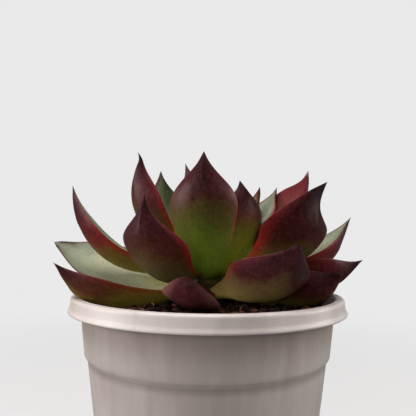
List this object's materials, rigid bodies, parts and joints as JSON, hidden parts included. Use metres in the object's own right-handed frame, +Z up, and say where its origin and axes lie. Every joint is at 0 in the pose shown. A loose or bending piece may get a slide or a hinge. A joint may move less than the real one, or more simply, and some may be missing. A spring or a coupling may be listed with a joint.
{
  "type": "potted succulent",
  "caption": "Rosette succulent with thick pointed leaves growing from a short stem in a soil-filled round nursery pot, standing on a flat foot.",
  "frame": {"origin": "on the pot's axis, in the plane of its foot", "axes": "+Z up along the pot's axis, -Y the front that the picture shows, +X to the right seen from the front"},
  "size_m": [0.1241, 0.1084, 0.1458],
  "materials": {
    "pot": "thin moulded nursery-pot plastic, greyish beige, satin, lightly see-through against the light",
    "soil": "dark damp peat mix, rough and crumbly",
    "bark": "dry reddish-brown bark flakes, rough",
    "stem": "short fleshy olive-brown stem with leaf scars",
    "leaf": "waxy fleshy leaf, green at the foot, dark maroon outside, red margins, grey-green inside"
  },
  "bodies": {
    "root": {"pot": "pot", "soil": "soil", "stem": "stem", "leaf_low_front": "leaf", "leaf_low_right_near": "leaf", "leaf_low_left_near": "leaf", "leaf_low_back_left": "leaf", "leaf_low_back_right": "leaf", "leaf_low_front_right": "leaf", "leaf_low_right": "leaf", "leaf_low_left": "leaf", "leaf_low_back": "leaf", "leaf_mid_front_left": "leaf", "leaf_mid_left": "leaf", "leaf_mid_right_near": "leaf", "leaf_mid_right": "leaf", "leaf_mid_back_left": "leaf", "leaf_mid_back_right": "leaf", "leaf_top_front": "leaf", "leaf_top_right_near": "leaf", "leaf_top_left_near": "leaf", "leaf_top_right": "leaf", "leaf_top_right_far": "leaf", "leaf_top_left_far": "leaf", "leaf_top_back": "leaf", "leaf_young_back": "leaf", "leaf_young_right_far": "leaf", "leaf_young_right": "leaf", "leaf_young_left": "leaf", "leaf_young_front_left": "leaf", "leaf_young_front": "leaf", "leaf_young_back_right": "leaf", "leaf_bud_front": "leaf", "leaf_bud_back": "leaf", "bark_right": "bark", "bark_right_far": "bark", "bark_left": "bark", "bark_middle_right": "bark", "bark_far_left": "bark", "bark_back": "bark"}
  },
  "joints": []
}
